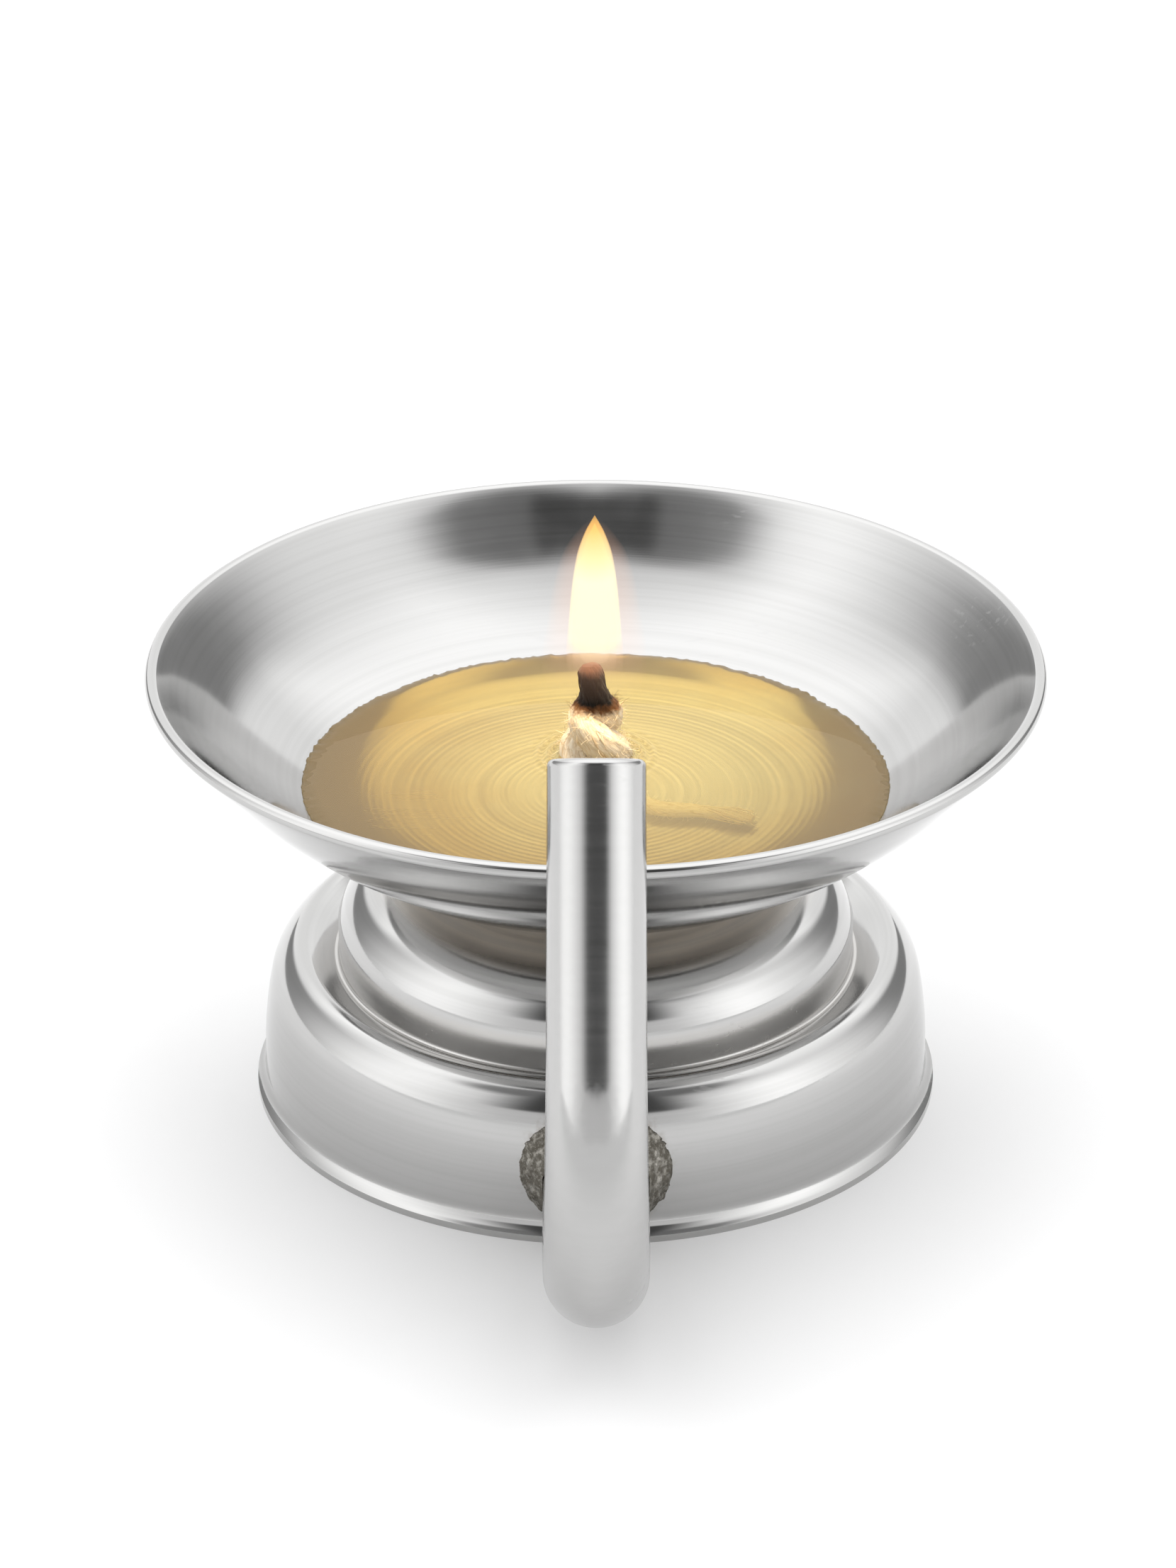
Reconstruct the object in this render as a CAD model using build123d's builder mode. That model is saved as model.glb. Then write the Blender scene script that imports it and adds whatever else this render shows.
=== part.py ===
from build123d import *

import os
from math import acos, cos, degrees, radians, sin, sqrt, tan

# Steel butter lamp: a flared bowl welded on a stepped hollow pedestal, with a bent tube handle,
# a pool of melted butter and a cotton wick. The lamp's axis is Z, the table is at z = 0 and the
# handle points towards -Y. Sizes are in millimetres, angles in degrees.

# Pedestal, one spun sheet, from the table up and inwards
pedestal_sheet = 1.0
skirt_radius = 28.95
skirt_height = 1.34
foot_flare = 0.75
foot_flare_radius = 2.0
foot_edge_height = 0.6
belly_radius = 36.0
belly_angle = 10.7
crest_radius = 5.0
crest_angle = 55.0
crest_bend_radius = 0.3
crest_fall = 28.0
crest_fall_length = 2.36
groove_radius = 0.3
tier_height = 3.06
shoulder_angle = 14.0
shoulder_radius = 6.16
ledge_width = 2.02
neck_fillet = 2.4
neck_collar = 1.68

# Bowl, one spun sheet, seated on the pedestal's flat top
bowl_radius = 38.5
bowl_sheet = 1.2
bowl_wall_angle = 47.3
bowl_wall_length = 5.65
bowl_side_radius = 46.0
bowl_corner_radius = 14.0
bowl_corner_angle = 30.0

# Filler metal in the corner under the bowl
neck_weld_leg = 1.2

# Handle: a tube with a level leg, one bend and an upright that leans back over the bowl
handle_wall = 1.0
handle_leg_diameter = 8.9
handle_upright_diameter = 8.0
handle_tip_diameter = 7.85
handle_leg_height = 6.2
handle_bend_radius = 16.0
handle_rim_gap = 6.37
handle_lean = 28.0
handle_upright_length = 24.2
cap_thickness = 0.5
cap_crown = 0.6
handle_weld_leg = 2.0
handle_weld_spread = 1.5
handle_weld_rise = 0.85
weld_root_gap = 0.05

# Butter, filled to this depth over the bowl's floor
butter_depth = 3.3
butter_clearance = 0.05

# Wick: a standing twist that narrows to a burnt tip, and a tail that lies on the bowl's floor
wick_setback = 4.6
wick_foot_radius = 3.2
wick_waist_radius = 2.7
wick_collar_radius = 2.0
wick_tip_radius = 0.9
wick_waist_height = 5.6
wick_collar_height = 7.6
wick_height = 11.6
wick_tail_diameter = 2.2
wick_tail_turn = (3.4, -3.4)
wick_tail_bend = 6.0
wick_tail_margin = 1.4
wick_tail_bearing = -23.9
wick_clearance = 0.3

# Places that follow from the sizes above
foot_radius = skirt_radius + foot_flare
flare_centre_radius = skirt_radius + foot_flare_radius
flare_top = foot_edge_height + sqrt(
    foot_flare_radius**2 - (flare_centre_radius - foot_radius) ** 2
)
bowl_floor_radius = (
    bowl_radius
    - bowl_sheet / 2 * (1 - sin(radians(bowl_wall_angle)))
    - bowl_wall_length * cos(radians(bowl_wall_angle))
    - bowl_side_radius * (sin(radians(bowl_wall_angle)) - sin(radians(bowl_corner_angle)))
    - bowl_corner_radius * sin(radians(bowl_corner_angle))
)


def pedestal_curve(inset):
    """Section line of the pedestal from the table to its top, inset from its outer face."""
    edge_radius = foot_radius - inset
    flare_radius = foot_flare_radius + inset
    edge_top = flare_top - sqrt(flare_radius**2 - (flare_centre_radius - edge_radius) ** 2)
    edge = Line((edge_radius, 0), (edge_radius, edge_top))
    flare = RadiusArc(edge @ 1, (skirt_radius - inset, flare_top), flare_radius)
    skirt = PolarLine(flare @ 1, skirt_height, direction=(0, 1))
    belly = JernArc(skirt @ 1, skirt % 1, belly_radius - inset, belly_angle)
    crest = JernArc(belly @ 1, belly % 1, crest_radius - inset, crest_angle - belly_angle)
    bend_radius = crest_bend_radius + pedestal_sheet - inset
    crest_bend = JernArc(crest @ 1, crest % 1, bend_radius, 90 - crest_angle + crest_fall)
    fall = PolarLine(crest_bend @ 1, crest_fall_length, direction=crest_bend % 1)
    groove = JernArc(fall @ 1, fall % 1, groove_radius + inset, -90 - crest_fall)
    shoulder_start = degrees(
        acos((shoulder_radius * cos(radians(shoulder_angle)) - inset) / (shoulder_radius - inset))
    )
    tier_rise = (
        tier_height
        - shoulder_radius * sin(radians(shoulder_angle))
        + (shoulder_radius - inset) * sin(radians(shoulder_start))
    )
    tier = PolarLine(groove @ 1, tier_rise, direction=groove % 1)
    shoulder_way = (-sin(radians(shoulder_start)), cos(radians(shoulder_start)))
    shoulder = JernArc(tier @ 1, shoulder_way, shoulder_radius - inset, 90 - shoulder_start)
    ledge = PolarLine(shoulder @ 1, ledge_width, direction=shoulder % 1)
    neck = JernArc(ledge @ 1, ledge % 1, neck_fillet + inset, -90)
    return PolarLine(neck @ 1, neck_collar - inset, direction=neck % 1)


with BuildLine():
    collar = pedestal_curve(0)
    neck_radius = (collar @ 1).X
    pedestal_height = (collar @ 1).Y

bowl_floor = pedestal_height + bowl_sheet
butter_level = bowl_floor + butter_depth
wick_foot = bowl_floor + wick_clearance


def bowl_curve(depth):
    """Section line of the bowl from the axis to its lip, this deep in from the underside."""
    level = pedestal_height + depth
    floor = Line((0, level), (bowl_floor_radius, level))
    corner = JernArc(floor @ 1, floor % 1, bowl_corner_radius - depth, bowl_corner_angle)
    side = JernArc(
        corner @ 1, corner % 1, bowl_side_radius - depth, bowl_wall_angle - bowl_corner_angle
    )
    return PolarLine(side @ 1, bowl_wall_length, direction=side % 1)


with BuildLine():
    rim_height = (bowl_curve(0) @ 1).Y

# The handle's bend lies where the upright passes the rim at the gap that is set
upright_foot = handle_leg_height + handle_bend_radius * (1 + sin(radians(handle_lean)))
upright_at_rim = bowl_radius + handle_rim_gap + handle_upright_diameter / 2 / cos(radians(handle_lean))
handle_bend_reach = (
    upright_at_rim
    - handle_bend_radius * cos(radians(handle_lean))
    + (rim_height - upright_foot) * tan(radians(handle_lean))
)


def handle_curve():
    """Centre line of the handle in the YZ plane, drawn from inside the pedestal's wall to its tip."""
    leg_start = (-skirt_radius + pedestal_sheet + handle_leg_diameter, handle_leg_height)
    leg_end = (-handle_bend_reach, handle_leg_height)
    leg = Line(leg_start, leg_end)
    bend = JernArc(leg @ 1, leg % 1, handle_bend_radius, -90 - handle_lean)
    upright = PolarLine(bend @ 1, handle_upright_length, direction=bend % 1)
    return leg, bend, upright


with BuildLine(Plane.YZ) as handle_line:
    leg, bend, upright = handle_curve()


def round_at(edge, along, radius):
    """A disc of that radius square to an edge of the handle's centre line."""
    with BuildSketch(Plane(origin=edge @ along, z_dir=edge % along)) as disc:
        Circle(radius)
    return disc.sketch


def handle_core(inset):
    """The handle as a solid rod with its faces inset, made in the builder that is open."""
    leg_radius = handle_leg_diameter / 2 - inset
    upright_radius = handle_upright_diameter / 2 - inset
    tip_radius = handle_tip_diameter / 2 - inset
    extrude(round_at(leg, 0, leg_radius), amount=leg.length)
    sweep(
        sections=[round_at(bend, 0, leg_radius), round_at(bend, 1, upright_radius)],
        path=bend,
        multisection=True,
    )
    loft(sections=[round_at(upright, 0, upright_radius), round_at(upright, 1, tip_radius)])


def wick_tail_curve():
    """Plan line of the wick's tail, from under the standing part to its loose end."""
    reach = bowl_floor_radius - wick_tail_margin
    bearing = radians(wick_tail_bearing)
    tail_end = (reach * cos(bearing), reach * sin(bearing))
    return FilletPolyline((0, wick_setback), wick_tail_turn, tail_end, radius=wick_tail_bend)


# Pedestal
with BuildPart() as pedestal_core:
    with BuildSketch(Plane.XZ):
        with BuildLine():
            Polyline(
                pedestal_curve(-weld_root_gap) @ 1,
                (0, pedestal_height + weld_root_gap),
                (0, 0),
                (foot_radius + weld_root_gap, 0),
            )
        make_face()
    revolve(axis=Axis.Z)

with BuildPart() as pedestal:
    with BuildSketch(Plane.XZ):
        with BuildLine():
            Polyline(
                pedestal_curve(0) @ 1,
                (0, pedestal_height),
                (0, 0),
                (foot_radius, 0),
            )
        make_face()
        with BuildLine():
            Polyline(
                pedestal_curve(pedestal_sheet) @ 1,
                (0, pedestal_height - pedestal_sheet),
                (0, 0),
                (foot_radius - pedestal_sheet, 0),
            )
        make_face(mode=Mode.SUBTRACT)
    revolve(axis=Axis.Z)

# Bowl
with BuildPart() as bowl:
    with BuildSketch(Plane.XZ):
        with BuildLine():
            outer_wall = bowl_curve(0)
            bowl_curve(bowl_sheet)
            JernArc(outer_wall @ 1, outer_wall % 1, bowl_sheet / 2, 180)
            Line((0, pedestal_height), (0, bowl_floor))
        make_face()
    revolve(axis=Axis.Z)

# Ring of filler metal between the pedestal's collar and the bowl's floor
with BuildPart() as neck_weld:
    with BuildSketch(Plane.XZ):
        with BuildLine():
            RadiusArc(
                (neck_radius, pedestal_height - neck_weld_leg),
                (neck_radius + neck_weld_leg, pedestal_height),
                neck_weld_leg,
            )
            Polyline(
                (neck_radius + neck_weld_leg, pedestal_height),
                (neck_radius, pedestal_height),
                (neck_radius, pedestal_height - neck_weld_leg),
            )
        make_face()
    revolve(axis=Axis.Z)

# Handle tube, its foot coped to the pedestal's wall
with BuildPart() as handle_bore:
    handle_core(handle_wall)

with BuildPart() as handle_rod:
    handle_core(0)

with BuildPart() as handle_tube:
    add(handle_rod.part)
    add(handle_bore.part, mode=Mode.SUBTRACT)
    add(pedestal_core.part, mode=Mode.SUBTRACT)

# Crowned cap on the handle's tip
with BuildPart() as handle_cap:
    tip_radius = handle_tip_diameter / 2
    with BuildSketch(Plane(origin=upright @ 1, x_dir=(1, 0, 0), z_dir=upright % 1)):
        Circle(tip_radius)
    extrude(amount=cap_thickness + cap_crown)
    fillet(handle_cap.edges().sort_by(Axis((0, 0, 0), upright % 1))[-1], cap_crown)

# Weld bead round the handle's foot, wider at the sides than above and below, drawn from as far
# inside the wall as it stands out of it and cut back to the wall and the tube
with BuildPart() as handle_weld:
    leg_radius = handle_leg_diameter / 2
    wall_face = Plane(origin=(0, -skirt_radius, handle_leg_height), x_dir=(1, 0, 0), z_dir=(0, -1, 0))
    with BuildSketch(wall_face.offset(-handle_weld_leg)):
        Ellipse(leg_radius + 2 * handle_weld_spread, leg_radius + 2 * handle_weld_rise)
    with BuildSketch(wall_face.offset(handle_weld_leg)):
        Circle(leg_radius)
    loft()
    add(handle_rod.part, mode=Mode.SUBTRACT)
    add(pedestal_core.part, mode=Mode.SUBTRACT)

# Wick
with BuildPart() as wick:
    with BuildSketch(Plane.XZ.offset(-wick_setback)):
        with BuildLine():
            Spline(
                (wick_foot_radius, wick_foot),
                (wick_waist_radius, wick_foot + wick_waist_height),
                (wick_collar_radius, wick_foot + wick_collar_height),
                (wick_tip_radius, wick_foot + wick_height),
                tangents=(
                    (0, 1),
                    (wick_tip_radius - wick_collar_radius, wick_height - wick_collar_height),
                ),
            )
            Polyline(
                (wick_tip_radius, wick_foot + wick_height),
                (0, wick_foot + wick_height),
                (0, wick_foot),
                (wick_foot_radius, wick_foot),
            )
        make_face()
    revolve(axis=Axis((0, wick_setback, 0), (0, 0, 1)))
    with BuildLine(Plane.XY.offset(wick_foot + wick_tail_diameter / 2)) as tail_line:
        wick_tail_curve()
    with BuildSketch(Plane(origin=tail_line.line @ 0, z_dir=tail_line.line % 0)):
        Circle(wick_tail_diameter / 2)
    sweep(path=tail_line.line)

# Butter, open above the wick so that the wick can be drawn straight up
with BuildPart() as butter:
    with BuildSketch(Plane.XZ):
        with BuildLine():
            inner_wall = bowl_curve(bowl_sheet + butter_clearance)
            Polyline(
                inner_wall @ 1,
                (0, (inner_wall @ 1).Y),
                (0, bowl_floor + butter_clearance),
            )
        make_face()
    revolve(axis=Axis.Z)
    split(bisect_by=Plane.XY.offset(butter_level), keep=Keep.BOTTOM)
    with BuildSketch(Plane.XY.offset(bowl_floor)):
        with Locations((0, wick_setback)):
            Circle(wick_foot_radius + wick_clearance)
        with BuildLine():
            tail_plan = wick_tail_curve()
        trace(line_width=wick_tail_diameter + 2 * wick_clearance)
        with Locations(tail_plan @ 1):
            Circle(wick_tail_diameter / 2 + wick_clearance)
    extrude(amount=2 * butter_depth, mode=Mode.SUBTRACT)

pieces = {
    "pedestal": pedestal,
    "bowl": bowl,
    "neck_weld": neck_weld,
    "handle_tube": handle_tube,
    "handle_cap": handle_cap,
    "handle_weld": handle_weld,
    "butter": butter,
    "wick": wick,
}
os.makedirs("parts", exist_ok=True)
for name, piece in pieces.items():
    piece.part.label = name
    export_step(piece.part, f"parts/{name}.step")
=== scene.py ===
from math import acos, cos, pi, radians, sin, tau

import bmesh
import bpy
from bpy.props import FloatProperty, FloatVectorProperty, IntProperty, PointerProperty
from mathutils import Matrix, Vector, noise
from mathutils.bvhtree import BVHTree


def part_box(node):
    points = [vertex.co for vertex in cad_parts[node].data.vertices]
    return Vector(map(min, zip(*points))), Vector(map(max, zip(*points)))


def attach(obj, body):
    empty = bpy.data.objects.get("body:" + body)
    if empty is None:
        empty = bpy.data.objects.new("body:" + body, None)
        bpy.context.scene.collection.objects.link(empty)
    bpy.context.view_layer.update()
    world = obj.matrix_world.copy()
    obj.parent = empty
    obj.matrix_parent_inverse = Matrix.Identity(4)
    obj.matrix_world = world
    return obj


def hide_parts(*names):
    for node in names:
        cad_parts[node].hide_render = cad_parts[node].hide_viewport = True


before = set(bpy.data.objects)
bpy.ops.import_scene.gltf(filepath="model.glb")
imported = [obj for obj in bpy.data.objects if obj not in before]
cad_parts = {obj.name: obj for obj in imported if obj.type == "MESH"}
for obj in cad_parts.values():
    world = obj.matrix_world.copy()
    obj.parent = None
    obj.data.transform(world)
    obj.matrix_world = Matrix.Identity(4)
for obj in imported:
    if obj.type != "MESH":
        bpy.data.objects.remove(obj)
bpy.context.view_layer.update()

bl_info = {
    "name": "Steel butter lamp",
    "version": (1, 0, 0),
    "blender": (4, 5, 0),
    "location": "3D View > Sidebar > Butter lamp",
    "description": "Finishes a steel butter lamp with its welds, butter, wick, flame and stage",
    "category": "Object",
}

MM = 0.001

# Places read from the parts of model.glb
BUTTER_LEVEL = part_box("butter")[1][2]
BUTTER_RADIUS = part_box("butter")[1][0]
RIM_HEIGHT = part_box("bowl")[1][2]
WICK_LOW, WICK_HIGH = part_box("wick")
WICK_RADIUS = -WICK_LOW[0]
WICK_FOOT = WICK_LOW[2]
WICK_TIP = WICK_HIGH[2]
WICK_PLACE = Vector((0, WICK_HIGH[1] - WICK_RADIUS, 0))
WELD_LOW, WELD_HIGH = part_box("handle_weld")
WELD_PLACE = Vector((0, WELD_HIGH[1], (WELD_LOW[2] + WELD_HIGH[2]) / 2))


# Sizes and colours that a user may change

def length(name, description, default):
    return FloatProperty(name=name, description=description, default=default, min=0, unit="LENGTH", precision=5)


def share(name, description, default):
    return FloatProperty(name=name, description=description, default=default, min=0, max=1, subtype="FACTOR")


def color(name, description, default):
    return FloatVectorProperty(
        name=name, description=description, default=default, size=3, min=0, max=1, subtype="COLOR"
    )


class SteelSettings(bpy.types.PropertyGroup):
    polished: color("Polished steel", "Reflectance of the steel where it is polished", (0.498, 0.496, 0.492))
    dull: color("Dull steel", "Reflectance of the steel between its polish lines", (0.464, 0.462, 0.457))
    # Painted reflection: a lighter, browner steel colour for the neck and the recess, standing in for the light
    # reflected there
    neck_painted_reflection: color("Painted reflection in the neck", "Colour of the duller steel in the neck and the recess", (0.64, 0.605, 0.56))
    ringed: color("Worn rings", "Colour of the worn rings on the bowl's floor", (0.27, 0.262, 0.24))
    stain: color("Heat stain", "Colour of the steel beside the welds", (0.27, 0.235, 0.20))
    roughness: share("Roughness", "Roughness of the polished steel", 0.095)
    drawn_roughness: share("Handle roughness", "Roughness of the satin handle", 0.16)
    line_pitch: length("Line pitch", "Distance between polish lines", 0.11 * MM)
    line_depth: length("Line depth", "Depth of the polish lines", 0.0004 * MM)
    stain_reach: length("Stain reach", "How far the heat stain spreads round the handle's weld", 6.3 * MM)


class WeldSettings(bpy.types.PropertyGroup):
    bright: color("Bright weld", "Colour of the raised, clean weld metal", (0.37, 0.355, 0.32))
    burnt: color("Burnt weld", "Colour of the burnt hollows of the weld", (0.13, 0.12, 0.10))
    # Painted light: the dressed weld's colour is lighter than the steel, standing in for light in the crevice under
    # the bowl
    dressed_painted_light: color("Dressed weld", "Colour of the weld that is ground smooth", (0.58, 0.55, 0.51))
    lump_height: length("Lump height", "How far the weld's lumps rise and fall", 0.15 * MM)
    lump_size: length("Lump size", "Distance between the weld's lumps", 0.7 * MM)


class ButterSettings(bpy.types.PropertyGroup):
    clear: color("Clear butter", "Tint of the melted butter", (1.0, 0.83, 0.30))
    # Painted shade: the butter's tint away from the wick, where less of the flame's light falls
    painted_shade_butter: color("Butter in painted shade", "Tint of the butter where it is cloudy", (0.82, 0.525, 0.095))
    ripple_height: length("Ripple height", "Height of the rings round the wick", 0.10 * MM)
    ripple_pitch: length("Ripple pitch", "Distance between the rings round the wick", 0.95 * MM)
    edge_drop: length("Edge drop", "How far the butter's surface falls where it cools at its edge", 0.26 * MM)
    edge_waver: length("Edge waver", "How much the height of the butter's edge varies", 0.15 * MM)


class WickSettings(bpy.types.PropertyGroup):
    cotton: color("Cotton", "Colour of the clean cotton", (0.90, 0.80, 0.63))
    shade: color("Cotton shade", "Colour of the darker fibres", (0.66, 0.49, 0.29))
    scorch: color("Scorch", "Colour of the browned cotton under the char", (0.13, 0.055, 0.018))
    char: color("Char", "Colour of the burnt cotton", (0.004, 0.0034, 0.003))
    ember: color("Ember", "Colour of the rusty fringe at the tip", (0.045, 0.017, 0.008))
    pitch: length("Twist pitch", "Height of one full turn of the two plies", 8.5 * MM)
    char_length: length("Char length", "Length of the burnt tip", 3.5 * MM)
    strands: IntProperty(name="Strands", description="Number of loose strands on a ply", default=14, min=2, max=60)


class FlameSettings(bpy.types.PropertyGroup):
    height: length("Flame height", "Height of the flame's tip above the wick's tip", 14.2 * MM)
    radius: length("Flame radius", "Greatest radius of the flame", 2.42 * MM)
    core: color("Flame core", "Colour of the brightest part", (1.0, 0.93, 0.60))
    tip: color("Flame tip", "Colour of the upper end", (1.0, 0.50, 0.09))
    foot: color("Flame foot", "Colour of the thin gas round the wick", (1.0, 0.56, 0.36))


class StageSettings(bpy.types.PropertyGroup):
    lens: FloatProperty(
        name="Lens", description="Focal length on a 36 mm sensor", default=147.03, subtype="DISTANCE_CAMERA"
    )
    elevation: FloatProperty(
        name="Elevation", description="Camera's angle above the table", default=radians(26.8245), subtype="ANGLE"
    )
    distance: length("Distance", "Distance from the camera to the point that it looks at", 551.95 * MM)
    aim_height: length("Aim height", "Height of the point that the camera looks at", 28.361 * MM)
    aim_side: FloatProperty(
        name="Aim side", description="Sideways place of the camera", default=-0.67 * MM, unit="LENGTH", precision=5
    )
    floor: color("Floor", "Colour of the floor", (0.975, 0.975, 0.977))
    # Painted shade: the floor's colour nearer to the camera, where less light falls
    floor_front_painted_shade: color("Floor in front, in painted shade", "Colour of the floor nearer to the camera", (0.77, 0.77, 0.772))
    floor_radius: length("Floor radius", "Radius of the floor", 4.0)
    light_level: FloatProperty(name="Light level", description="Brightness of the studio", default=1.13, min=0)
    glow: color("Flame glow", "Colour of the flame's light", (1.0, 0.72, 0.38))
    glow_power: FloatProperty(
        name="Glow power", description="Power of the flame's light", default=0.029, min=0, unit="POWER", precision=5
    )


SETTINGS = {
    "lamp_steel": SteelSettings,
    "lamp_weld": WeldSettings,
    "lamp_butter": ButterSettings,
    "lamp_wick": WickSettings,
    "lamp_flame": FlameSettings,
    "lamp_stage": StageSettings,
}


# Node trees

class Graph:
    """A node tree written as calls: each adds one node, links what it is given and returns an output."""

    def __init__(self, tree):
        self.tree = tree
        tree.nodes.clear()

    def put(self, socket, value):
        """Links a socket to an output, or sets it to a plain value."""
        if isinstance(value, bpy.types.NodeSocket):
            self.tree.links.new(value, socket)
        elif value is not None:
            socket.default_value = value

    def node(self, kind, inputs=(), **settings):
        node = self.tree.nodes.new(kind)
        for name, value in settings.items():
            setattr(node, name, value)
        for key, value in dict(inputs).items():
            self.put(node.inputs[key], value)
        return node

    def math(self, operation, *values):
        return self.node("ShaderNodeMath", enumerate(values), operation=operation).outputs[0]

    def vector(self, operation, *values):
        node = self.node("ShaderNodeVectorMath", enumerate(values), operation=operation)
        return node.outputs["Value" if operation in {"LENGTH", "DISTANCE"} else "Vector"]

    def scaled(self, vector, factor):
        return self.node("ShaderNodeVectorMath", {"Vector": vector, "Scale": factor}, operation="SCALE").outputs[0]

    def split(self, vector):
        return self.node("ShaderNodeSeparateXYZ", {0: vector}).outputs

    def joined(self, x, y, z):
        return self.node("ShaderNodeCombineXYZ", {0: x, 1: y, 2: z}).outputs[0]

    def span(self, value, low, high, to_low=0.0, to_high=1.0):
        """A smooth step from to_low to to_high while the value goes from low to high."""
        inputs = {"Value": value, "From Min": low, "From Max": high, "To Min": to_low, "To Max": to_high}
        return self.node("ShaderNodeMapRange", inputs, interpolation_type="SMOOTHSTEP").outputs[0]

    def hump(self, value, centre, width):
        """A smooth bell of height 1 about centre."""
        off = self.math("DIVIDE", self.math("SUBTRACT", value, centre), width)
        return self.math("EXPONENT", self.math("MULTIPLY", self.math("MULTIPLY", off, off), -1.0))

    def band(self, value, low, high, soft_low, soft_high):
        """A mask that is 1 from low to high, with soft ends."""
        rise = self.span(value, low - soft_low, low + soft_low)
        fall = self.span(value, high - soft_high, high + soft_high, 1.0, 0.0)
        return self.math("MULTIPLY", rise, fall)

    def mix(self, factor, first, second):
        inputs = {0: factor, 6: rgba(first), 7: rgba(second)}
        return self.node("ShaderNodeMix", inputs, data_type="RGBA").outputs[2]

    def noise(self, vector, scale, detail=2.0, roughness=0.5):
        inputs = {"Vector": vector, "Scale": scale, "Detail": detail, "Roughness": roughness}
        return self.node("ShaderNodeTexNoise", inputs).outputs["Fac"]

    def ramp(self, value, stops):
        """A colour ramp through (place, colour) stops, linear between them."""
        node = self.node("ShaderNodeValToRGB", {"Fac": value})
        elements = node.color_ramp.elements
        while len(elements) < len(stops):
            elements.new(1.0)
        for element, (place, tint) in zip(elements, stops):
            element.position = place
            element.color = rgba(tint)
        return node.outputs["Color"]

    def curve(self, value, stops):
        """A number that follows (place, level) stops, from 0 to 1."""
        return self.ramp(value, [(place, (level, level, level)) for place, level in stops])

    def attribute(self, name, output="Fac"):
        return self.node("ShaderNodeAttribute", attribute_name=name).outputs[output]

    def group(self, name, inputs):
        """A node group that is already made, with its inputs."""
        node = self.node("ShaderNodeGroup", node_tree=bpy.data.node_groups[name])
        for key, value in inputs.items():
            self.put(node.inputs[key], value)
        return node.outputs


def rgba(value):
    """A colour with its alpha, where a plain colour of three numbers is given."""
    if isinstance(value, bpy.types.NodeSocket):
        return value
    return (*value, 1.0)


def shader_group(name, inputs, outputs):
    """An empty shader group with its sockets, as (graph, input sockets, output node)."""
    tree = bpy.data.node_groups.new(name, "ShaderNodeTree")
    for socket, kind in inputs.items():
        tree.interface.new_socket(socket, in_out="INPUT", socket_type=kind)
    for socket, kind in outputs.items():
        tree.interface.new_socket(socket, in_out="OUTPUT", socket_type=kind)
    graph = Graph(tree)
    return graph, graph.node("NodeGroupInput").outputs, graph.node("NodeGroupOutput")


def polish_group():
    """Fine polish lines and broader streaks along them, where X and Y of Vector run across the lines."""
    graph, given, result = shader_group(
        "polish_lines",
        {"Vector": "NodeSocketVector", "Line scale": "NodeSocketFloat", "Roughness": "NodeSocketFloat"},
        {"Line": "NodeSocketFloat", "Streak": "NodeSocketFloat", "Roughness": "NodeSocketFloat"},
    )
    line = graph.noise(given["Vector"], given["Line scale"], 2.0, 0.6)
    broad = graph.math("MULTIPLY", given["Line scale"], 0.12)
    streak = graph.noise(given["Vector"], broad, 4.0, 0.65)
    spread = graph.math("MULTIPLY_ADD", streak, 0.5, 0.75)
    graph.put(result.inputs["Line"], line)
    graph.put(result.inputs["Streak"], graph.span(streak, 0.3, 0.7))
    graph.put(result.inputs["Roughness"], graph.math("MULTIPLY", given["Roughness"], spread))


def wear_group():
    """Hair scratches in patches, and soft smudges from handling."""
    graph, given, result = shader_group(
        "handling_wear",
        {"Vector": "NodeSocketVector"},
        {"Scratch": "NodeSocketFloat", "Smudge": "NodeSocketFloat"},
    )
    patch = graph.span(graph.noise(given["Vector"], 55.0, 2.0), 0.52, 0.68)
    marks = []
    for turn in (0.5, 1.9):
        stretched = graph.node(
            "ShaderNodeMapping",
            {"Vector": given["Vector"], "Rotation": (turn, 0.4, turn), "Scale": (14.0, 420.0, 420.0)},
        ).outputs[0]
        marks.append(graph.span(graph.noise(stretched, 5.0, 1.0), 0.66, 0.72))
    both = graph.math("MAXIMUM", *marks)
    graph.put(result.inputs["Scratch"], graph.math("MULTIPLY", both, patch))
    smudge = graph.span(graph.noise(given["Vector"], 90.0, 3.0, 0.6), 0.45, 0.75)
    graph.put(result.inputs["Smudge"], smudge)


def material(name):
    """A new material, as (material, graph, its Principled shader, Object coordinates)."""
    made = bpy.data.materials.new(name)
    made.use_nodes = True
    graph = Graph(made.node_tree)
    shader = graph.node("ShaderNodeBsdfPrincipled")
    output = graph.node("ShaderNodeOutputMaterial")
    graph.put(output.inputs["Surface"], shader.outputs[0])
    return made, graph, shader, graph.node("ShaderNodeTexCoord").outputs["Object"]


def bump(graph, shader, height, distance, strength=1.0):
    """Fine relief on a material, from a height of 0 to 1."""
    node = graph.node("ShaderNodeBump", {"Height": height, "Distance": distance, "Strength": strength})
    graph.put(shader.inputs["Normal"], node.outputs[0])


# Meshes

MERGE_DISTANCE = 0.0005 * MM
SECTION_PLANE = 0.002 * MM
ON_AXIS = 0.001 * MM


def put_in_scene(name, data):
    """A new object at the origin."""
    obj = bpy.data.objects.new(name, data)
    bpy.context.scene.collection.objects.link(obj)
    return obj


def mesh_of(shape, name):
    """A plain mesh from a shape under construction, which is then done with."""
    mesh = bpy.data.meshes.new(name)
    shape.to_mesh(mesh)
    shape.free()
    return mesh


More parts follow.
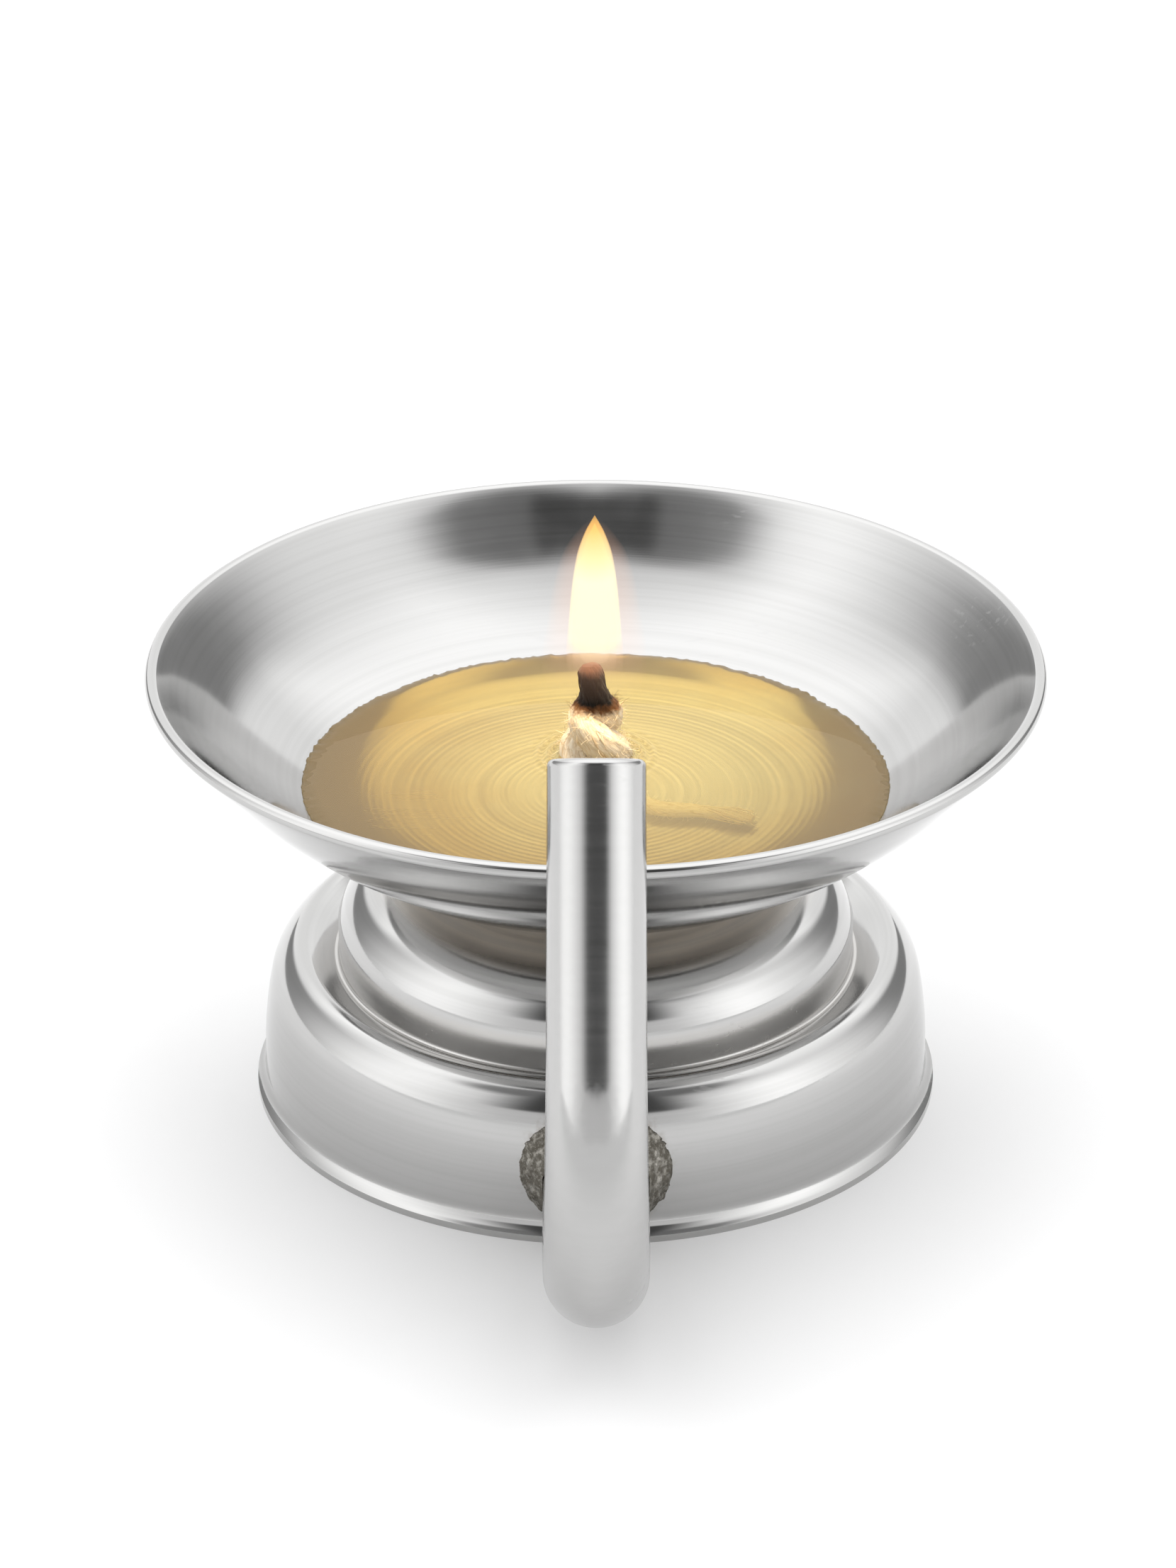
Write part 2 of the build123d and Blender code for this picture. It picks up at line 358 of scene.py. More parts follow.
def finish_mesh(name, mesh, stuff=None):
    """An object at the origin for a finished mesh, smooth shaded, with its material."""
    mesh.name = name
    mesh.shade_smooth()
    if stuff:
        mesh.materials.clear()
        mesh.materials.append(stuff)
    return put_in_scene(name, mesh)


def evaluated_mesh(obj):
    """A plain mesh of an object with its modifiers, which replaces the object."""
    graph = bpy.context.evaluated_depsgraph_get()
    mesh = bpy.data.meshes.new_from_object(obj.evaluated_get(graph), depsgraph=graph)
    bpy.data.objects.remove(obj)
    return mesh


def smooth_through(stops, place):
    """The level at a place on a smooth line through rising (place, level) stops, with no overshoot."""
    if place <= stops[0][0]:
        return stops[0][1]
    if place >= stops[-1][0]:
        return stops[-1][1]
    steps = [(b[1] - a[1]) / (b[0] - a[0]) for a, b in zip(stops, stops[1:])]
    slopes = [steps[0]]
    for before, after in zip(steps, steps[1:]):
        slopes.append(0.0 if before * after <= 0 else 2 * before * after / (before + after))
    slopes.append(steps[-1])
    i = next(k for k in range(len(steps)) if place <= stops[k + 1][0])
    (x0, y0), (x1, y1) = stops[i], stops[i + 1]
    run = x1 - x0
    t = (place - x0) / run
    return (
        y0 * (1 + 2 * t) * (1 - t) ** 2
        + slopes[i] * run * t * (1 - t) ** 2
        + y1 * t * t * (3 - 2 * t)
        + slopes[i + 1] * run * t * t * (t - 1)
    )


def lathe(shape, profile, centre, segments, closed=False):
    """Adds a turned shape about the vertical through centre, and returns its rings of points.

    The profile is (radius, height), from pole to pole or closed. A radius of 0 is one point."""
    turns = [tau * k / segments for k in range(segments)]
    rings = []
    for radius, height in profile:
        round_about = turns if radius > 0 else [0.0]
        rings.append(
            [shape.verts.new((centre.x + radius * cos(a), centre.y + radius * sin(a), height)) for a in round_about]
        )
    for low, high in zip(rings, rings[1:] + rings[:1] if closed else rings[1:]):
        for k in range(segments):
            n = (k + 1) % segments
            corners = [low[k % len(low)], low[n % len(low)], high[n % len(high)], high[k % len(high)]]
            shape.faces.new(list(dict.fromkeys(corners)))
    return rings


def section(node):
    """The (radius, height) line where the half plane through +X cuts a turned CAD node, and whether it closes."""
    shape = bmesh.new()
    shape.from_mesh(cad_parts[node].data)
    bmesh.ops.remove_doubles(shape, verts=shape.verts, dist=MERGE_DISTANCE)
    beside = {}
    for edge in shape.edges:
        if all(abs(v.co.y) < SECTION_PLANE and v.co.x > -SECTION_PLANE for v in edge.verts):
            for vert in edge.verts:
                beside.setdefault(vert, []).append(edge.other_vert(vert))
    ends = [v for v in beside if len(beside[v]) == 1]
    line = [ends[0] if ends else next(iter(beside))]
    while True:
        ahead = [v for v in beside[line[-1]] if v not in line]
        if not ahead:
            break
        line.append(ahead[0])
    if len(line) != len(beside):
        raise RuntimeError(f"The section of {node} is not one line")
    points = [Vector((v.co.x, v.co.z)) for v in line]
    shape.free()
    if ends:
        points = [Vector((0.0, points[0].y))] + points + [Vector((0.0, points[-1].y))]
    return points, not ends


def bend_at(points, i, closed):
    """The turn of a section at one of its points."""
    if not closed and i in (0, len(points) - 1):
        return 0.0
    before = (points[i] - points[i - 1]).normalized()
    after = (points[(i + 1) % len(points)] - points[i]).normalized()
    return acos(max(-1.0, min(1.0, before.dot(after))))


def turned(node, segments, corner):
    """A finely turned mesh of a CAD node's own section, with sharp edges where it turns by more than corner."""
    points, closed = section(node)
    profile = [(0.0 if point.x < ON_AXIS else point.x, point.y) for point in points]
    shape = bmesh.new()
    rings = lathe(shape, profile, Vector((0, 0, 0)), segments, closed)
    bmesh.ops.recalc_face_normals(shape, faces=shape.faces)
    for i, ring in enumerate(rings):
        if len(ring) > 1 and bend_at(points, i, closed) > corner:
            for k in range(segments):
                shape.edges.get((ring[k], ring[(k + 1) % segments])).smooth = False
    return mesh_of(shape, node + "_turned")


# Steel

TURNED_SEGMENTS = 480
TURNED_CORNER = radians(24)

# Parts of the spun steel with a finish of their own, in mm: the radii over which each fades out, its heights,
# and how softly these end
FLOOR_ZONE = ((19.0, 23.0), (25.2, 28.4), (0.2, 0.4))
# The neck and recess zones carry painted reflection as well as extra roughness
NECK_ZONE = ((17.0, 20.5), (19.8, 24.9), (0.5, 0.2))
RECESS_ZONE = ((22.6, 23.0), (11.8, 15.4), (0.3, 0.3))
RECESS_SHARE = 0.35

# Roughness that each mark adds
SMUDGE_ROUGHNESS = 0.035
SCRATCH_ROUGHNESS = 0.10
FLOOR_ROUGHNESS = 0.14
NECK_RECESS_ROUGHNESS = 0.33
STAIN_ROUGHNESS = 0.22

# Heights are in depths of a polish line
SCRATCH_HEIGHT = -1.2
FLOOR_RING_HEIGHT = 11.0
FLOOR_RING_PITCH = 0.62 * MM
FLOOR_RING_SHARE = 0.75

STAIN_SHARE = 0.85
STAIN_FADE = 2.4 * MM
STAIN_RAGGED = 4 * MM


def zone_mask(graph, radius, height, zone):
    """A mask over one zone of the spun steel."""
    (inner, outer), (low, high), (soft_low, soft_high) = zone
    inside = graph.span(radius, inner * MM, outer * MM, 1.0, 0.0)
    level = graph.band(height, low * MM, high * MM, soft_low * MM, soft_high * MM)
    return graph.math("MULTIPLY", inside, level)


def steel_material(name, settings, spun):
    """Polished steel: lines in rings about the lamp's axis where spun, else across the handle."""
    made, graph, shader, place = material(name)
    x, y, z = graph.split(place)
    if spun:
        radius = graph.vector("LENGTH", graph.joined(x, y, 0.0))
        sideways = graph.math("DIVIDE", x, graph.math("ADD", radius, 1 * MM))
        across = graph.joined(radius, z, graph.math("MULTIPLY", sideways, 0.15 * MM))
    else:
        across = graph.joined(y, z, graph.math("MULTIPLY", x, 0.03))
    lines = graph.group(
        "polish_lines",
        {
            "Vector": across,
            "Line scale": 1 / settings.line_pitch,
            "Roughness": settings.roughness if spun else settings.drawn_roughness,
        },
    )
    wear = graph.group("handling_wear", {"Vector": place})
    shine = lines["Streak"] if spun else graph.span(lines["Streak"], 0.0, 1.0, 0.35, 0.65)
    tint = graph.mix(shine, settings.dull, settings.polished)
    rough = graph.math("MULTIPLY_ADD", wear["Smudge"], SMUDGE_ROUGHNESS, lines["Roughness"])
    rough = graph.math("MULTIPLY_ADD", wear["Scratch"], SCRATCH_ROUGHNESS, rough)
    height = graph.math("MULTIPLY_ADD", wear["Scratch"], SCRATCH_HEIGHT, lines["Line"])
    if spun:
        floor = zone_mask(graph, radius, z, FLOOR_ZONE)
        neck = zone_mask(graph, radius, z, NECK_ZONE)
        recess = zone_mask(graph, radius, z, RECESS_ZONE)
        # This mask covers the neck and part of the recess: real extra roughness, and the painted reflection below
        dull = graph.math("MULTIPLY_ADD", recess, RECESS_SHARE, neck)
        rough = graph.math("MULTIPLY_ADD", floor, FLOOR_ROUGHNESS, rough)
        rough = graph.math("MULTIPLY_ADD", dull, NECK_RECESS_ROUGHNESS, rough)
        ring = graph.math("SINE", graph.math("MULTIPLY", radius, tau / FLOOR_RING_PITCH))
        height = graph.math("MULTIPLY_ADD", graph.math("MULTIPLY", floor, ring), FLOOR_RING_HEIGHT, height)
        # Painted reflection: lighter, browner steel in the neck and the recess, standing in for the light reflected
        # there
        neck_painted_reflection_mask = graph.math("MULTIPLY", dull, graph.span(lines["Streak"], 0.0, 1.0, 0.55, 0.95))
        tint = graph.mix(neck_painted_reflection_mask, tint, settings.neck_painted_reflection)
        worn_ring = graph.math("MULTIPLY", floor, graph.math("SUBTRACT", 1.0, lines["Streak"]))
        tint = graph.mix(graph.math("MULTIPLY", worn_ring, FLOOR_RING_SHARE), tint, settings.ringed)
    reach = graph.vector("DISTANCE", place, tuple(WELD_PLACE))
    ragged = graph.math("MULTIPLY_ADD", graph.noise(place, 900.0, 4.0, 0.65), STAIN_RAGGED, reach)
    burnt = graph.span(ragged, settings.stain_reach, settings.stain_reach + STAIN_FADE, STAIN_SHARE, 0.0)
    graph.put(shader.inputs["Base Color"], graph.mix(burnt, tint, settings.stain))
    graph.put(shader.inputs["Roughness"], graph.math("MULTIPLY_ADD", burnt, STAIN_ROUGHNESS, rough))
    shader.inputs["Metallic"].default_value = 1.0
    bump(graph, shader, height, settings.line_depth)
    return made


def dress(node, stuff):
    """Gives a CAD node its finish."""
    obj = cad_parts[node]
    if not obj.material_slots:
        obj.data.materials.append(stuff)
    for slot in obj.material_slots:
        slot.material = stuff


class LAMP_OT_finish_steel(bpy.types.Operator):
    """Polish the bowl, pedestal and handle, with their lines, scratches and heat stain"""

    bl_idname = "lamp.finish_steel"
    bl_label = "Finish steel"

    def execute(self, context):
        settings = context.scene.lamp_steel
        polish_group()
        wear_group()
        spun = steel_material("spun_steel", settings, True)
        drawn = steel_material("drawn_steel", settings, False)
        for node in ("pedestal", "bowl"):
            piece = finish_mesh(node + "_turned", turned(node, TURNED_SEGMENTS, TURNED_CORNER), spun)
            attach(piece, "lamp")
            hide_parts(node)
        dress("handle_tube", drawn)
        dress("handle_cap", drawn)
        return {"FINISHED"}


# Welds

WELD_GRID = 0.16 * MM
WELD_MERGE = 0.001 * MM
WELD_RELIEF = 0.10 * MM
LUMP_SINK = 0.1


def weld_material(settings):
    """Rough weld metal: bright on its lumps and burnt in its hollows."""
    made, graph, shader, place = material("weld_metal")
    lump = graph.noise(place, 1 / settings.lump_size, 5.0, 0.65)
    speck = graph.span(graph.noise(place, 4 / settings.lump_size, 3.0, 0.6), 0.55, 0.72)
    clean = graph.math("MAXIMUM", graph.span(lump, 0.42, 0.68), graph.math("MULTIPLY", speck, 0.8))
    graph.put(shader.inputs["Base Color"], graph.mix(clean, settings.burnt, settings.bright))
    graph.put(shader.inputs["Roughness"], graph.span(clean, 0.0, 1.0, 0.55, 0.24))
    shader.inputs["Metallic"].default_value = 1.0
    bump(graph, shader, graph.noise(place, 2.5 / settings.lump_size, 6.0, 0.7), WELD_RELIEF)
    return made


def dressed_weld_painted_light_material(settings):
    """Weld metal that is ground smooth and keeps a little heat stain, with painted light: its colour is lighter
    than the steel, standing in for light in the crevice under the bowl.
    """
    made, graph, shader, place = material("dressed_weld_painted_light")
    stain = graph.noise(place, 90.0, 2.0, 0.5)
    tint = graph.mix(graph.math("MULTIPLY", stain, 0.4), settings.dressed_painted_light, settings.bright)
    graph.put(shader.inputs["Base Color"], tint)
    graph.put(shader.inputs["Roughness"], graph.span(stain, 0.0, 1.0, 0.55, 0.45))
    shader.inputs["Metallic"].default_value = 1.0
    return made


class LAMP_OT_lay_welds(bpy.types.Operator):
    """Roughen the bead at the handle's foot and finish the fillet under the bowl"""

    bl_idname = "lamp.lay_welds"
    bl_label = "Lay welds"

    def execute(self, context):
        settings = context.scene.lamp_weld
        metal = weld_material(settings)
        dress("neck_weld", dressed_weld_painted_light_material(settings))
        shape = bmesh.new()
        shape.from_mesh(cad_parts["handle_weld"].data)
        bmesh.ops.remove_doubles(shape, verts=shape.verts, dist=WELD_MERGE)
        blank = put_in_scene("weld_blank", mesh_of(shape, "weld_blank"))
        remesh = blank.modifiers.new("even", "REMESH")
        remesh.mode = "VOXEL"
        remesh.voxel_size = WELD_GRID
        mesh = evaluated_mesh(blank)
        normals = [v.normal.copy() for v in mesh.vertices]
        for vert, normal in zip(mesh.vertices, normals):
            lump = noise.fractal(vert.co / settings.lump_size, 0.9, 2.1, 4)
            vert.co += normal * (settings.lump_height * (lump - LUMP_SINK))
        bead = finish_mesh("handle_weld_bead", mesh, metal)
        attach(bead, "lamp")
        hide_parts("handle_weld")
        return {"FINISHED"}


# Butter

RIPPLES = 3.2
RIPPLE_START = WICK_RADIUS * 0.96
EDGE_WIDTH = 1.6 * MM
SWELL_HEIGHT = 0.012 * MM
SWELL_SIZE = 9 * MM
BUTTER_BURY = 0.05 * MM
BUTTER_SEGMENTS = 480
SURFACE_RINGS = 110
FLOOR_RINGS = 40
WALL_STOPS = 120
WALL_BEYOND = 2.5 * MM
RIM_START = 1.5 * MM
RIM_STEP = 0.02 * MM
WAVER_FROM = 0.93


def bowl_wall_heights(count, reach):
    """(radius, height) of the bowl's inner face, read from the bowl by rays straight down."""
    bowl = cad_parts["bowl"].data
    tree = BVHTree.FromPolygons([v.co for v in bowl.vertices], [p.vertices for p in bowl.polygons])
    stops = []
    for i in range(count + 1):
        radius = reach * i / count
        hit = tree.ray_cast(Vector((radius, 0.0, RIM_HEIGHT + MM)), Vector((0, 0, -1)))[0]
        if hit is None:
            raise RuntimeError("The bowl has no inner face under the butter")
        stops.append((radius, hit.z))
    return stops


def butter_height(point, settings):
    """Height of the butter's surface at a point in plan: rings round the wick and a falling edge."""
    away = (point - WICK_PLACE.xy).length - RIPPLE_START
    rings = 0.0
    if 0 < away < RIPPLES * settings.ripple_pitch:
        fade = 1 - away / (RIPPLES * settings.ripple_pitch)
        rings = settings.ripple_height * fade * cos(tau * away / settings.ripple_pitch)
    edge = point.length - (BUTTER_RADIUS - EDGE_WIDTH)
    fall = settings.edge_drop * max(0.0, edge / EDGE_WIDTH) ** 2
    swell = SWELL_HEIGHT * noise.noise(Vector((point.x, point.y, 0)) / SWELL_SIZE)
    return BUTTER_LEVEL + rings - fall + swell


def butter_rim(settings, wall):
    """Where the butter meets the bowl, all the way round: (direction, reach, waver of the edge's height)."""
    rim = []
    for i in range(BUTTER_SEGMENTS):
        angle = tau * i / BUTTER_SEGMENTS
        way = Vector((cos(angle), sin(angle)))
        broad = noise.noise(Vector((way.x * 9, way.y * 9, 3.0)))
        fine = noise.noise(Vector((way.x * 52, way.y * 52, 8.0)))
        waver = settings.edge_waver * (0.7 * broad + fine)
        reach = BUTTER_RADIUS - RIM_START
        while butter_height(way * reach, settings) + waver > smooth_through(wall, reach):
            reach += RIM_STEP
        rim.append((way, reach + 2 * BUTTER_BURY, waver))
    return rim


def butter_mesh(settings):
    """The pool: its surface, and a face that follows the bowl's inside and is buried a little in it."""
    wall = bowl_wall_heights(WALL_STOPS, BUTTER_RADIUS + WALL_BEYOND)
    rim = butter_rim(settings, wall)
    shape = bmesh.new()
    centre_top = shape.verts.new((0, 0, butter_height(Vector((0, 0)), settings)))
    centre_low = shape.verts.new((0, 0, wall[0][1] - BUTTER_BURY))
    top = []
    for k in range(1, SURFACE_RINGS + 1):
        part = k / SURFACE_RINGS
        ring = []
        for way, reach, waver in rim:
            spot = way * reach * part
            lift = waver * max(0.0, (part - WAVER_FROM) / (1 - WAVER_FROM)) ** 2
            ring.append(shape.verts.new((spot.x, spot.y, butter_height(spot, settings) + lift)))
        top.append(ring)
    low = []
    for k in range(1, FLOOR_RINGS):
        part = k / FLOOR_RINGS
        ring = []
        for way, reach, _ in rim:
            spot = way * reach * part
            ring.append(shape.verts.new((spot.x, spot.y, smooth_through(wall, reach * part) - BUTTER_BURY)))
        low.append(ring)
    low.append(top[-1])
    for rings, centre, order in ((top, centre_top, 1), (low, centre_low, -1)):
        for i in range(BUTTER_SEGMENTS):
            j = (i + 1) % BUTTER_SEGMENTS
            shape.faces.new([centre, rings[0][i], rings[0][j]][::order])
            for inner, outer in zip(rings, rings[1:]):
                shape.faces.new([inner[i], outer[i], outer[j], inner[j]][::order])
    return mesh_of(shape, "butter_pool")


def butter_material(settings):
    """Clear golden liquid, with painted shade: darker away from the wick, where less of the flame's light falls,
    and in rings that follow the ripples round it.
    """
    made, graph, shader, place = material("melted_butter")
    patch_noise = graph.span(graph.noise(place, 120.0, 3.0, 0.55), 0.35, 0.75)
    away = graph.vector("DISTANCE", place, (3.0 * MM, WICK_PLACE.y, BUTTER_LEVEL))
    # Painted shade: the butter darkens away from the wick, where less of the flame's light falls; the noise makes
    # its edge ragged
    scorch_and_painted_shade = graph.span(graph.math("MULTIPLY_ADD", patch_noise, 4.0 * MM, away), 7.0 * MM, 26.0 * MM)
    x, y, _ = graph.split(place)
    from_wick = graph.vector("LENGTH", graph.joined(x, graph.math("SUBTRACT", y, WICK_PLACE.y), 0.0))
    # Painted shade in rings that follow the ripples round the wick
    ring = graph.math("SINE", graph.math("MULTIPLY", from_wick, tau / settings.ripple_pitch))
    ringed = graph.span(from_wick, WICK_RADIUS, WICK_RADIUS + RIPPLES * settings.ripple_pitch, 0.4, 0.0)
    scorch_and_painted_shade = graph.math("MULTIPLY_ADD", graph.span(ring, 0.1, 0.9), ringed, scorch_and_painted_shade)
    graph.put(shader.inputs["Base Color"], graph.mix(scorch_and_painted_shade, settings.clear, settings.painted_shade_butter))
    film = graph.span(graph.noise(place, 340.0, 2.0), 0.55, 0.8, 0.015, 0.05)
    graph.put(shader.inputs["Roughness"], film)
    shader.inputs["Transmission Weight"].default_value = 0.84
    shader.inputs["IOR"].default_value = 1.46
    return made


class LAMP_OT_pour_butter(bpy.types.Operator):
    """Fill the bowl with melted butter, ringed round the wick and falling a little at its edge"""

    bl_idname = "lamp.pour_butter"
    bl_label = "Pour butter"

    def execute(self, context):
        settings = context.scene.lamp_butter
        pool = finish_mesh("butter_pool", butter_mesh(settings), butter_material(settings))
        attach(pool, "lamp")
        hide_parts("butter")
        return {"FINISHED"}


# Wick

# (height above the wick's foot, radius) of the standing wick
WICK_OUTLINE = [
    (0.0, WICK_RADIUS),
    (3.0 * MM, 3.1 * MM),
    (5.2 * MM, 2.85 * MM),
    (6.4 * MM, 2.60 * MM),
    (7.3 * MM, 2.10 * MM),
    (7.9 * MM, 1.68 * MM),
    (8.6 * MM, 1.46 * MM),
    (11.1 * MM, 1.02 * MM),
    (11.6 * MM, 0.55 * MM),
]
# (height, share of the radius) that each ply stands off the wick's middle: closed up at the char
PLY_STANDOFF = [(6.4 * MM, 0.46), (8.2 * MM, 0.16)]
PLY_STEPS = 72
PLY_CROSSING = 5.2 * MM
TIP_LEAN = -4.0 * MM
TIP_LEAN_FROM = 0.6

# Plan of the loose tail in mm, and (share of the way, share of its radius)
TAIL_ROUTE = [(0.0, 4.6), (1.9, 0.2), (3.4, -3.4), (7.6, -4.6), (13.4, -6.05)]
TAIL_RADIUS = 1.0 * MM
TAIL_TAPER = [(0.0, 1.15), (0.75, 1.1), (1.0, 0.6)]
TAIL_SWAY = 0.3 * MM
TAIL_SWAYS = 2.6
GOLDEN_ANGLE = pi * (3 - 5 ** 0.5)


def cotton_material(settings):
    """Cotton fibres, browned under the tip, charred above that, with a rusty fringe at the end."""
    made, graph, shader, place = material("wick_cotton")
    z = graph.split(place)[2]
    tone = graph.attribute("tone")
    lie = graph.scaled(graph.attribute("around", "Vector"), 5.0)
    drawn = graph.vector("ADD", lie, graph.joined(0.0, 0.0, graph.math("MULTIPLY", graph.attribute("along"), 9.0)))
    fibre = graph.noise(drawn, 2.6, 3.0, 0.65)
    pale = graph.span(graph.math("MULTIPLY_ADD", fibre, 0.75, graph.math("MULTIPLY", tone, 0.4)), 0.30, 0.68)
    clean = graph.mix(pale, settings.shade, settings.cotton)
    ragged = graph.math("MULTIPLY_ADD", graph.noise(place, 1500.0, 3.0, 0.6), 1.1 * MM, z)
    jagged = graph.math("MULTIPLY_ADD", tone, 0.5 * MM, ragged)
    burn = WICK_TIP - settings.char_length + 0.55 * MM
    scorch_and_painted_shade = graph.mix(graph.span(jagged, burn - 0.75 * MM, burn + 0.1 * MM), clean, settings.scorch)
    charred = graph.mix(graph.span(jagged, burn - 0.1 * MM, burn + 0.7 * MM), scorch_and_painted_shade, settings.char)
    tipped = graph.mix(graph.span(ragged, WICK_TIP - 0.45 * MM, WICK_TIP + 0.25 * MM), charred, settings.ember)
    graph.put(shader.inputs["Base Color"], tipped)
    graph.put(shader.inputs["Roughness"], graph.span(fibre, 0.2, 0.8, 0.7, 0.95))
    shader.inputs["Sheen Weight"].default_value = 0.06
    shader.inputs["Specular IOR Level"].default_value = 0.25
    bump(graph, shader, fibre, 0.10 * MM, 0.7)
    return made


def strand_tree():
    """Geometry nodes: a soft ply along each guide line, with loose strands on it and fibres standing off it.

    The guides carry their thickness and their share of the way along as attributes."""
    tree = bpy.data.node_groups.new("twisted_strands", "GeometryNodeTree")
    sockets = {
        "Guides": "NodeSocketGeometry",
        "Strands": "NodeSocketInt",
        "Strand width": "NodeSocketFloat",
        "Turns": "NodeSocketFloat",
        "Fray": "NodeSocketFloat",
        "Fibres": "NodeSocketFloat",
        "Fibre length": "NodeSocketFloat",
        "Fibre top": "NodeSocketFloat",
        "Cotton": "NodeSocketMaterial",
        "Seed": "NodeSocketInt",
    }
    for name, kind in sockets.items():
        tree.interface.new_socket(name, in_out="INPUT", socket_type=kind)
    tree.interface.new_socket("Strands", in_out="OUTPUT", socket_type="NodeSocketGeometry")
    graph = Graph(tree)
    given = graph.node("NodeGroupInput").outputs
    result = graph.node("NodeGroupOutput")

    def named(name, kind="FLOAT"):
        return graph.node("GeometryNodeInputNamedAttribute", {"Name": name}, data_type=kind).outputs[0]

    def stored(geometry, name, value, kind="FLOAT"):
        inputs = {"Geometry": geometry, "Name": name, "Value": value}
        node = graph.node("GeometryNodeStoreNamedAttribute", inputs, data_type=kind, domain="POINT")
        return node.outputs[0]

    def circle(corners):
        inputs = {"Resolution": corners, "Radius": 1.0}
        return graph.node("GeometryNodeCurvePrimitiveCircle", inputs).outputs[0]

    def swept(curve, profile, size):
        inputs = {"Curve": curve, "Profile Curve": profile, "Scale": size, "Fill Caps": True}
        return graph.node("GeometryNodeCurveToMesh", inputs).outputs[0]

    def moved(geometry, offset):
        return graph.node("GeometryNodeSetPosition", {"Geometry": geometry, "Offset": offset}).outputs[0]

    def chance(low, high, key, extra):
        inputs = {"Seed": graph.math("ADD", given["Seed"], extra), 2: low, 3: high, "ID": key}
        return graph.node("FunctionNodeRandomValue", inputs, data_type="FLOAT").outputs[1]

    along = named("along")
    thick = named("thickness")
    position = graph.node("GeometryNodeInputPosition").outputs[0]
    height = graph.split(position)[2]
    normal = graph.node("GeometryNodeInputNormal").outputs[0]
    tangent = graph.node("GeometryNodeInputTangent").outputs[0]
    lines = graph.node("GeometryNodeMeshToCurve", {0: given["Guides"]}).outputs[0]

    # Loose strands wound on the ply, which open where it frays
    copies = graph.node(
        "GeometryNodeDuplicateElements", {"Geometry": lines, "Amount": given["Strands"]}, domain="SPLINE"
    )
    number = copies.outputs["Duplicate Index"]
    fray_here = graph.math("MULTIPLY", graph.span(along, 0.86, 1.0), given["Fray"])
    opened = graph.math("MULTIPLY_ADD", fray_here, chance(0.1, 1.0, number, 1), 1.0)
    depth = chance(0.84, 1.0, number, 9)
    reach = graph.math("MULTIPLY", graph.math("MULTIPLY", depth, opened), graph.math("MULTIPLY", thick, 0.95))
    wound = graph.math("MULTIPLY", graph.math("MULTIPLY", along, given["Turns"]), tau)
    angle = graph.math("MULTIPLY_ADD", number, GOLDEN_ANGLE, wound)
    side = graph.vector("CROSS_PRODUCT", tangent, normal)
    outward = graph.vector(
        "ADD", graph.scaled(normal, graph.math("COSINE", angle)), graph.scaled(side, graph.math("SINE", angle))
    )
    apart = graph.vector("ADD", position, graph.joined(graph.math("MULTIPLY", number, 0.013), 0.0, 0.0))
    patch_noise = graph.node("ShaderNodeTexNoise", {"Vector": apart, "Scale": 620.0, "Detail": 2.0}).outputs["Color"]
    centred = graph.vector("SUBTRACT", patch_noise, (0.5, 0.5, 0.5))
    waver = graph.scaled(centred, graph.math("MULTIPLY", thick, 0.30))
    laid = moved(copies.outputs[0], graph.vector("ADD", graph.scaled(outward, reach), waver))
    cut = graph.node("GeometryNodeTrimCurve", {"Curve": laid}, mode="FACTOR")
    graph.put(cut.inputs["End"], chance(0.955, 1.0, number, 2))
    toned = stored(cut.outputs[0], "tone", chance(0.0, 1.0, number, 3))
    width = graph.math("MULTIPLY", thick, given["Strand width"])
    width = graph.math("MULTIPLY", width, chance(0.75, 1.25, number, 4))
    strands = swept(toned, circle(6), width)

    # The ply itself, with lumps drawn out along it
    rim = stored(circle(64), "around", position, "FLOAT_VECTOR")
    ply = swept(lines, rim, graph.math("MULTIPLY", thick, 0.97))
    around = graph.scaled(named("around", "FLOAT_VECTOR"), 2.2)
    drawn = graph.vector("ADD", around, graph.joined(0.0, 0.0, graph.math("MULTIPLY", along, 7.0)))
    lump = graph.node("ShaderNodeTexNoise", {"Vector": drawn, "Scale": 2.0, "Detail": 3.0}).outputs["Fac"]
    rise = graph.math("MULTIPLY", graph.math("SUBTRACT", lump, 0.5), graph.math("MULTIPLY", thick, 0.34))
    ply = stored(moved(ply, graph.scaled(normal, rise)), "tone", lump)

    # Fibres that stand off the ply below the char
    spots = graph.node(
        "GeometryNodeDistributePointsOnFaces",
        {
            "Mesh": ply,
            "Selection": graph.math("LESS_THAN", height, given["Fibre top"]),
            "Density": given["Fibres"],
            "Seed": given["Seed"],
        },
    )
    stem = graph.node("GeometryNodeCurvePrimitiveLine", {"Start": (0, 0, 0), "End": (0, 0, 1)}).outputs[0]
    stem = graph.node("GeometryNodeResampleCurve", {"Curve": stem, "Count": 6}).outputs[0]
    bend = graph.math("MULTIPLY", graph.math("POWER", height, 2.0), 0.55)
    stem = moved(stem, graph.joined(bend, 0.0, 0.0))
    hair = swept(stem, circle(3), graph.span(height, 0.0, 1.0, 0.030, 0.012))
    lean = graph.joined(chance(-1.25, 1.25, None, 5), chance(-1.25, 1.25, None, 6), chance(-pi, pi, None, 7))
    leaning = graph.node("FunctionNodeEulerToRotation", {0: lean}).outputs[0]
    turn = graph.node(
        "FunctionNodeRotateRotation", {0: spots.outputs["Rotation"], 1: leaning}, rotation_space="LOCAL"
    )
    size = graph.math("MULTIPLY", given["Fibre length"], chance(0.35, 1.0, None, 8))
    hairs = graph.node(
        "GeometryNodeInstanceOnPoints",
        {
            "Points": spots.outputs["Points"],
            "Instance": hair,
            "Rotation": turn.outputs[0],
            "Scale": graph.joined(size, size, size),
        },
    )

